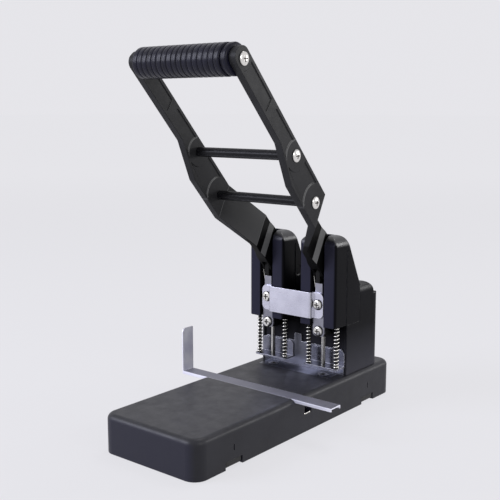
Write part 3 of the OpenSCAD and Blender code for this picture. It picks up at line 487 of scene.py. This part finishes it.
# ram_screw has painted dark reflection on the rims of the heads
ram_screw = turned(
    "ram_screw", (0.70, 0.69, 0.66), (0.84, 0.83, 0.80), rough=0.11,
    way=BACK, span=(0.88, 0.60), dark=grey(0.10),
)
screw_bright = turned("screw_bright", (0.74, 0.72, 0.68), (0.88, 0.86, 0.82), rough=0.11)
# painted shade: the dark tone of the cross recesses
screw_recess_shade = turned("screw_recess_shade", (0.06, 0.055, 0.05), (0.12, 0.11, 0.10), rough=0.40)
# spring_wire has painted shade on the faces of the coils that point up and down
spring_wire = turned(
    "spring_wire", (0.80, 0.78, 0.72), (0.94, 0.92, 0.86), rough=0.18,
    way=UP, span=(0.55, 0.9), dark=grey(0.18),
)
brass = turned("brass", (0.50, 0.36, 0.15), (0.64, 0.48, 0.22), rough=0.30)


# Carried-over solids: a finish, and softened edges

WELD_REACH = 0.002 * MM
FLAT_TURN = math.radians(0.3)
EDGE_SEGMENTS = 2
EVEN_WEIGHT = 60

PAIRS = ("left_", "right_")
POSTS = ("left_outer_", "left_inner_", "right_inner_", "right_outer_")
BOLTS = ("left_front_", "right_front_", "left_rear_", "right_rear_")


def dress(name, material, edge=0.0, turn=30.0):
    """Give a node its finish, and a bevel of edge mm where its faces meet at more than turn degrees."""
    obj = nodes[name]
    if obj.material_slots:
        obj.material_slots[0].material = material
    else:
        obj.data.materials.append(material)
    if not edge:
        return
    weld = obj.modifiers.new("weld", "WELD")
    weld.merge_threshold = WELD_REACH
    flat = obj.modifiers.new("flat", "DECIMATE")
    flat.decimate_type = "DISSOLVE"
    flat.angle_limit = FLAT_TURN
    soft = obj.modifiers.new("soft", "BEVEL")
    soft.width = edge * MM
    soft.segments = EDGE_SEGMENTS
    soft.limit_method = "ANGLE"
    soft.angle_limit = math.radians(turn)
    soft.use_clamp_overlap = False
    even = obj.modifiers.new("even", "WEIGHTED_NORMAL")
    even.weight = EVEN_WEIGHT


def dress_all():
    """Dress every node that no piece replaces: finish, edge in mm and, for some, the angle of an edge."""
    for whole, material, edge in (
        ("base", base_black, 0.0),
        ("bottom_cover", cover_black, 0.4),
        ("front_pad", pad_black, 0.25),
        ("centre_pad", pad_black, 0.25),
        ("rear_pad", pad_black, 0.25),
        ("lock_strip", screw_bright, 0.2),
        ("paper_guide", guide_metal, 0.3),
        ("die_plate", zinc_plate, 0.25),
        ("housing", house_black, 0.0),
        ("back_plate", zinc_plate, 0.3),
        ("ram_bridge", zinc_sheet, 0.35),
        ("upper_crossbar", bar_black, 0.15),
        ("lower_crossbar", bar_black, 0.15),
        ("grip_core", tool_steel, 0.3),
    ):
        dress(whole, material, edge)
    for side in PAIRS:
        for part, material, edge, *turn in (
            ("die", tool_steel, 0.0),
            ("throat_plate", throat_sheet, 0.3),
            ("tower", tower_black, 0.8, 15.0),
            ("pivot_pin", pin_black, 0.3),
            ("ram", ram_black, 0.4),
            ("ram_face", ram_sheet, 0.35),
            ("punch", punch_steel, 0.0),
            ("arm", arm_black, 0.5, 10.0),
            ("bush", brass, 0.2),
            ("drive_pin", tool_steel, 0.3),
        ):
            dress(side + part, material, edge, *turn)
    for place in POSTS:
        dress(place + "post", oiled_steel, 0.3)
    for place in BOLTS:
        dress(place + "bolt", tool_steel, 0.4)


# New pieces

MEET = 0.001 * MM


def piece(name, verts, faces, material, body, stands_for=None):
    mesh = bpy.data.meshes.new(name)
    mesh.from_pydata(verts, [], faces)
    mesh.update()
    mesh.polygons.foreach_set("use_smooth", [True] * len(mesh.polygons))
    mesh.materials.append(material)
    obj = bpy.data.objects.new(name, mesh)
    scene.collection.objects.link(obj)
    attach(obj, body)
    if stands_for:
        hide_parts(stands_for)
    return obj


def tube(path, radius, sides):
    """Vertices and faces of a closed wire along a path whose points turn about a Z axis at the origin."""
    verts, faces = [], []
    last = len(path) - 1
    for i, p in enumerate(path):
        ahead = (path[min(i + 1, last)] - path[max(i - 1, 0)]).normalized()
        out = Vector((p.x, p.y, 0)).normalized()
        out = (out - ahead * out.dot(ahead)).normalized()
        side = ahead.cross(out)
        for k in range(sides):
            a = 2 * math.pi * k / sides
            verts.append(p + radius * (math.cos(a) * out + math.sin(a) * side))
    for i in range(last):
        for k in range(sides):
            n = (k + 1) % sides
            faces.append((i * sides + k, i * sides + n, (i + 1) * sides + n, (i + 1) * sides + k))
    faces.append(tuple(reversed(range(sides))))
    faces.append(tuple(last * sides + k for k in range(sides)))
    return verts, faces


def lathe(profile, sides, put):
    """Vertices and faces of a profile of (along, radius) that is swept round.

    put(along, across, up) gives the place of a point.
    """
    verts, faces = [], []
    for along, r in profile:
        for k in range(sides):
            a = 2 * math.pi * k / sides
            verts.append(put(along, r * math.cos(a), r * math.sin(a)))
    for i in range(len(profile) - 1):
        for k in range(sides):
            n = (k + 1) % sides
            faces.append((i * sides + k, (i + 1) * sides + k, (i + 1) * sides + n, i * sides + n))
    return verts, faces


def merge(obj, distance):
    """Join points that meet, and turn all faces outwards."""
    work = bmesh.new()
    work.from_mesh(obj.data)
    bmesh.ops.remove_doubles(work, verts=work.verts, dist=distance)
    bmesh.ops.recalc_face_normals(work, faces=work.faces)
    work.to_mesh(obj.data)
    work.free()


def bake(obj):
    """Put the result of a piece's modifiers into its mesh."""
    graph = bpy.context.evaluated_depsgraph_get()
    mesh = bpy.data.meshes.new_from_object(obj.evaluated_get(graph))
    old = obj.data
    obj.modifiers.clear()
    obj.data = mesh
    bpy.data.meshes.remove(old)


def carve(obj, corners, sides, material):
    """Cut a closed form out of a piece."""
    mesh = bpy.data.meshes.new("cutter")
    mesh.from_pydata(corners, [], sides)
    mesh.materials.append(material)
    cutter = bpy.data.objects.new("cutter", mesh)
    scene.collection.objects.link(cutter)
    merge(cutter, 0.0)
    cut = obj.modifiers.new("cut", "BOOLEAN")
    cut.operation = "DIFFERENCE"
    cut.solver = "EXACT"
    cut.material_mode = "TRANSFER"
    cut.object = cutter
    bake(obj)
    bpy.data.objects.remove(cutter)


def soften(obj, width):
    """Round off all the edges of a piece."""
    edge = obj.modifiers.new("edge", "BEVEL")
    edge.width = width
    edge.segments = EDGE_SEGMENTS
    bake(obj)
    merge(obj, 0.0)


# Return springs, wound close at both ends

SPRING_TURNS = 10.5
DEAD_TURNS = 1.25
TURN_STEPS = 26
WIRE_SIDES = 10
WIRE = 1.6 * MM


def make_spring(place):
    low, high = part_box(place + "spring")
    axis = Vector(((low.x + high.x) / 2, (low.y + high.y) / 2, 0))
    radius = (high.x - low.x - WIRE) / 2
    height = high.z - low.z
    dead = DEAD_TURNS * WIRE
    path = []
    total = SPRING_TURNS + 2 * DEAD_TURNS
    steps = round(total * TURN_STEPS)
    for i in range(steps + 1):
        turn = total * i / steps
        free = min(max(turn - DEAD_TURNS, 0.0), SPRING_TURNS) / SPRING_TURNS
        ends = min(turn, DEAD_TURNS) + max(turn - DEAD_TURNS - SPRING_TURNS, 0.0)
        z = WIRE / 2 + ends * WIRE + free * (height - WIRE - 2 * dead)
        a = 2 * math.pi * turn
        path.append(Vector((radius * math.cos(a), radius * math.sin(a), z)))
    verts, faces = tube(path, WIRE / 2, WIRE_SIDES)
    verts = [v + axis + Vector((0, 0, low.z)) for v in verts]
    obj = piece(place + "coil", verts, faces, spring_wire, "frame_body", place + "spring")
    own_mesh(obj)


# Grip: a turned sleeve with flat-topped ribs, a groove and a collar

GRIP_RIBS = 17
GRIP_SIDES = 96
GRIP_SHARP = math.radians(55)
BORE_GAP = 0.05 * MM
LEFT_ROUND = 0.4 * MM
LEFT_DROP = 1.6 * MM
COLLAR = 9.5 * MM
RIB_DEEP = 0.8 * MM
# Shares of a rib's pitch, and of its depth below the outside
RIB_SHAPE = (
    (0.00, 1.00), (0.04, 1.00), (0.07, 0.45), (0.11, 0.22), (0.22, 0.10), (0.45, 0.02),
    (0.62, 0.00), (0.78, 0.02), (0.90, 0.10), (0.96, 0.40),
)
# Millimetres on from the last rib, or back from the right-hand end, and below the outside
COLLAR_SHAPE = ((0.2, 2.2), (3.4, 2.2), (3.8, 1.2), (4.4, 0.5), (5.2, 0.3))
RIGHT_SHAPE = ((1.2, 0.3), (0.4, 0.7), (0.0, 1.5))


def make_grip():
    low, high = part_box("grip_sleeve")
    y, z = (low.y + high.y) / 2, (low.z + high.z) / 2
    outer = (high.z - low.z) / 2
    core_low, core_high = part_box("grip_core")
    inner = (core_high.z - core_low.z) / 2 + BORE_GAP
    ribs_end = high.x - COLLAR
    pitch = (ribs_end - low.x) / GRIP_RIBS
    profile = [(low.x, inner), (low.x, outer - LEFT_DROP)]
    for i in range(GRIP_RIBS):
        start = low.x + i * pitch + (LEFT_ROUND if i == 0 else 0.0)
        profile += [(start + share * pitch, outer - drop * RIB_DEEP) for share, drop in RIB_SHAPE]
    profile += [(ribs_end + on * MM, outer - drop * MM) for on, drop in COLLAR_SHAPE]
    profile += [(high.x - back * MM, outer - drop * MM) for back, drop in RIGHT_SHAPE]
    profile += [(high.x, inner), (low.x, inner)]
    verts, faces = lathe(profile, GRIP_SIDES, lambda x, c, s: (x, y + c, z + s))
    obj = piece("ribbed_grip", verts, faces, grip_black, "lever_body", "grip_sleeve")
    merge(obj, MEET)
    obj.data.set_sharp_from_angle(angle=GRIP_SHARP)


# Screws, in mm: a full rounded head and a tapered cross, wide at its mouth and narrow at its foot

SCREW_SIDES = 48
SCREW_SHARP = math.radians(40)
THREAD = 3.0
TIP_CHAMFER = 0.6
PAN_HEAD = (
    (3.20, 0.0), (3.18, 2.4), (3.08, 3.7), (2.84, 4.7), (2.46, 5.5), (1.95, 6.2), (1.35, 6.65),
    (0.70, 6.92), (0.25, 7.0), (0.0, 6.9), (0.0, THREAD),
)
DOME_HEAD = (
    (2.60, 0.0), (2.56, 1.6), (2.42, 3.1), (2.14, 4.6), (1.76, 5.8), (1.24, 6.8), (0.72, 7.35),
    (0.25, 7.5), (0.0, 7.4), (0.0, THREAD),
)
CROSS_LONG = 3.5
CROSS_WIDE = 0.75
CROSS_DEEP = 1.5
CROSS_OVER = 1.0
CROSS_MOUTH = 1.25
CROSS_FOOT = 0.7


def make_screw(name, head, body, way):
    """A screw whose head points along way, +1 or -1 times X for the arms and -1 times Y for the rams."""
    low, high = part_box(name)
    mid = (low + high) / 2
    on_arm = body == "lever_body"
    ends = (low.x, high.x) if on_arm else (low.y, high.y)
    tip = ends[1] if way > 0 else ends[0]
    crown = head[0][0]
    tail = abs(ends[1] - ends[0]) / MM - crown

    def put(out, c, s):
        along = tip + way * (out - crown) * MM
        if on_arm:
            return (along, mid.y + c * MM, mid.z + s * MM)
        return (mid.x + c * MM, along, mid.z + s * MM)

    profile = list(head) + [(TIP_CHAMFER - tail, THREAD), (-tail, THREAD - TIP_CHAMFER), (-tail, 0.0)]
    verts, faces = lathe(profile, SCREW_SIDES, put)
    metal = arm_screw if on_arm else ram_screw
    obj = piece(name + "_head", verts, faces, metal, body, name)
    merge(obj, MEET)
    quarter = [(CROSS_LONG, CROSS_WIDE), (CROSS_WIDE, CROSS_WIDE), (CROSS_WIDE, CROSS_LONG)]
    plus = list(quarter)
    for _ in range(3):
        quarter = [(-v, u) for u, v in quarter]
        plus += quarter
    corners = []
    for out, grow in ((crown + CROSS_OVER, CROSS_MOUTH), (crown - CROSS_DEEP, CROSS_FOOT)):
        corners += [put(out, u * grow, v * grow) for u, v in plus]
    n = len(plus)
    sides = [(i, (i + 1) % n, n + (i + 1) % n, n + i) for i in range(n)]
    sides += [tuple(reversed(range(n))), tuple(range(n, 2 * n))]
    # the faces cut by the cross take the dark recess tone, as painted shade
    carve(obj, corners, sides, screw_recess_shade)
    obj.data.set_sharp_from_angle(angle=SCREW_SHARP)


# Bright links that lean out of the tower slots beside the necks

LINK_LOW, LINK_HIGH = 160.0 * MM, 176.8 * MM
LINK_OFF = 5.55 * MM
LINK_LEAN = 3.1 * MM
LINK_WIDE = 0.9 * MM
LINK_Y = (66.5 * MM, 67.9 * MM)
LINK_ROUND = 0.25 * MM


def make_link(side):
    low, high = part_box(side + "ram_face")
    foot = (low.x + high.x) / 2 - LINK_OFF
    top = foot - LINK_LEAN
    verts = []
    for y in LINK_Y:
        verts += [
            (foot - LINK_WIDE / 2, y, LINK_LOW), (foot + LINK_WIDE / 2, y, LINK_LOW),
            (top + LINK_WIDE / 2, y, LINK_HIGH), (top - LINK_WIDE / 2, y, LINK_HIGH),
        ]
    faces = [(0, 1, 2, 3), (7, 6, 5, 4), (0, 4, 5, 1), (1, 5, 6, 2), (2, 6, 7, 3), (3, 7, 4, 0)]
    obj = piece(side + "link_edge", verts, faces, screw_bright, "ram_body")
    soften(obj, LINK_ROUND)


# Moulding pips on both faces of the arms, placed along and across the lever in mm

ARM_THICK = 9.3 * MM
PIP_PLACES = ((-217.0, -5.2), (-151.6, -17.0))
PIP_SIDES = 24
PIP_SHAPE = ((0.50, 0.0), (0.44, 0.6), (0.28, 1.1), (0.0, 1.4), (-1.6, 1.4), (-1.6, 0.0))
LEVER_TILT = math.radians(48)
PIVOT = Vector((0, 96.0, 171.9)) * MM


def make_pips(side):
    low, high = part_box(side + "arm")
    sign = -1 if side == "left_" else 1
    outer = high.x if sign > 0 else low.x
    for i, (u, w) in enumerate(PIP_PLACES):
        y = PIVOT.y + (u * math.cos(LEVER_TILT) + w * math.sin(LEVER_TILT)) * MM
        z = PIVOT.z + (-u * math.sin(LEVER_TILT) + w * math.cos(LEVER_TILT)) * MM
        for face, x, way in (("out", outer, sign), ("in", outer - sign * ARM_THICK, -sign)):
            verts, faces = lathe(
                PIP_SHAPE, PIP_SIDES, lambda h, c, s: (x + way * h * MM, y + c * MM, z + s * MM)
            )
            obj = piece(f"{side}pip_{face}_{i}", verts, faces, arm_black, "lever_body")
            merge(obj, MEET)


# Stage: the floor and room look pale to the camera, and light the object less than they look

FLOOR_TONE = (0.790, 0.786, 0.820)
FLOOR_HALF = 40.0
FLOOR_GLOW = 0.82
FLOOR_LIFT = {"From Min": 0.5, "From Max": 4.5, "To Min": 1.043, "To Max": 1.132}
ROOM_LIGHT = 0.35


def looked_at(tree):
    """A share that is 1 for what the camera sees, straight or by way of metal or glass."""
    path = tree.nodes.new("ShaderNodeLightPath")
    share = path.outputs["Is Camera Ray"]
    for kind in ("Is Glossy Ray", "Is Transmission Ray"):
        either = tree.nodes.new("ShaderNodeMath")
        either.operation = "MAXIMUM"
        tree.links.new(share, either.inputs[0])
        tree.links.new(path.outputs[kind], either.inputs[1])
        share = either.outputs[0]
    return share


def floor_material():
    """Matt, with a glow that only shows, and that grows slowly away from the object."""
    material = bpy.data.materials.new("floor")
    material.use_nodes = True
    tree = material.node_tree
    tree.nodes.clear()
    link = tree.links.new
    matt = tree.nodes.new("ShaderNodeBsdfDiffuse")
    matt.inputs["Color"].default_value = (*FLOOR_TONE, 1)
    glow = tree.nodes.new("ShaderNodeEmission")
    glow.inputs["Color"].default_value = (*FLOOR_TONE, 1)
    place = tree.nodes.new("ShaderNodeTexCoord")
    away = tree.nodes.new("ShaderNodeVectorMath")
    away.operation = "LENGTH"
    lift = tree.nodes.new("ShaderNodeMapRange")
    lift.interpolation_type = "SMOOTHSTEP"
    for key, value in FLOOR_LIFT.items():
        lift.inputs[key].default_value = value
    link(place.outputs["Object"], away.inputs[0])
    link(away.outputs["Value"], lift.inputs["Value"])
    link(lift.outputs["Result"], glow.inputs["Strength"])
    share = tree.nodes.new("ShaderNodeMath")
    share.operation = "MULTIPLY"
    share.inputs[1].default_value = FLOOR_GLOW
    link(looked_at(tree), share.inputs[0])
    mix = tree.nodes.new("ShaderNodeMixShader")
    link(share.outputs[0], mix.inputs[0])
    link(matt.outputs[0], mix.inputs[1])
    link(glow.outputs[0], mix.inputs[2])
    link(mix.outputs[0], tree.nodes.new("ShaderNodeOutputMaterial").inputs["Surface"])
    return material


def make_floor():
    h = FLOOR_HALF
    mesh = bpy.data.meshes.new("floor")
    mesh.from_pydata([(-h, -h, 0), (h, -h, 0), (h, h, 0), (-h, h, 0)], [], [(0, 1, 2, 3)])
    mesh.materials.append(floor_material())
    floor = bpy.data.objects.new("floor", mesh)
    scene.collection.objects.link(floor)


def make_world():
    world = bpy.data.worlds.new("world")
    scene.world = world
    world.use_nodes = True
    tree = world.node_tree
    tree.nodes.clear()
    link = tree.links.new
    plain = tree.nodes.new("ShaderNodeBackground")
    plain.inputs["Color"].default_value = (*FLOOR_TONE, 1)
    room = tree.nodes.new("ShaderNodeBackground")
    room.inputs["Color"].default_value = (1, 1, 1, 1)
    room.inputs["Strength"].default_value = ROOM_LIGHT
    mix = tree.nodes.new("ShaderNodeMixShader")
    link(looked_at(tree), mix.inputs[0])
    link(room.outputs[0], mix.inputs[1])
    link(plain.outputs[0], mix.inputs[2])
    link(mix.outputs[0], tree.nodes.new("ShaderNodeOutputWorld").inputs["Surface"])


def make_lamp(name, at, towards, size, power, colour=(1, 1, 1)):
    """A square soft lamp, with its size in metres and its power in watts."""
    data = bpy.data.lights.new(name, "AREA")
    data.shape = "SQUARE"
    data.size = size
    data.energy = power
    data.color = colour
    lamp = bpy.data.objects.new(name, data)
    scene.collection.objects.link(lamp)
    lamp.location = at
    lamp.rotation_mode = "QUATERNION"
    lamp.rotation_quaternion = (Vector(towards) - Vector(at)).to_track_quat("-Z", "Y")


# The whole scene

make_camera()
dress_all()
for place in POSTS:
    make_spring(place)
make_grip()
for side in PAIRS:
    for place in ("bridge", "clamp"):
        make_screw(f"{side}{place}_screw", PAN_HEAD, "ram_body", -1)
    for place in ("grip", "upper", "lower"):
        make_screw(f"{side}{place}_screw", DOME_HEAD, "lever_body", -1 if side == "left_" else 1)
    make_link(side)
    make_pips(side)
make_floor()
make_world()
make_lamp(
    "key", at=(-1.3, -1.7, 1.2), towards=(0, 0, 0.2), size=1.2, power=34.0, colour=(0.84, 0.86, 1.0)
)
make_lamp("top", at=(0.0, 0.75, 1.9), towards=(0, 0.05, 0.2), size=0.65, power=7.0)
make_lamp("high_side", at=(1.72, -0.25, 0.85), towards=(0, 0.04, 0.25), size=0.6, power=5.0)
make_lamp("rim", at=(1.38, 1.77, 0.66), towards=(0, 0.1, 0.2), size=0.6, power=9.0)
scene.view_settings.view_transform = "Standard"
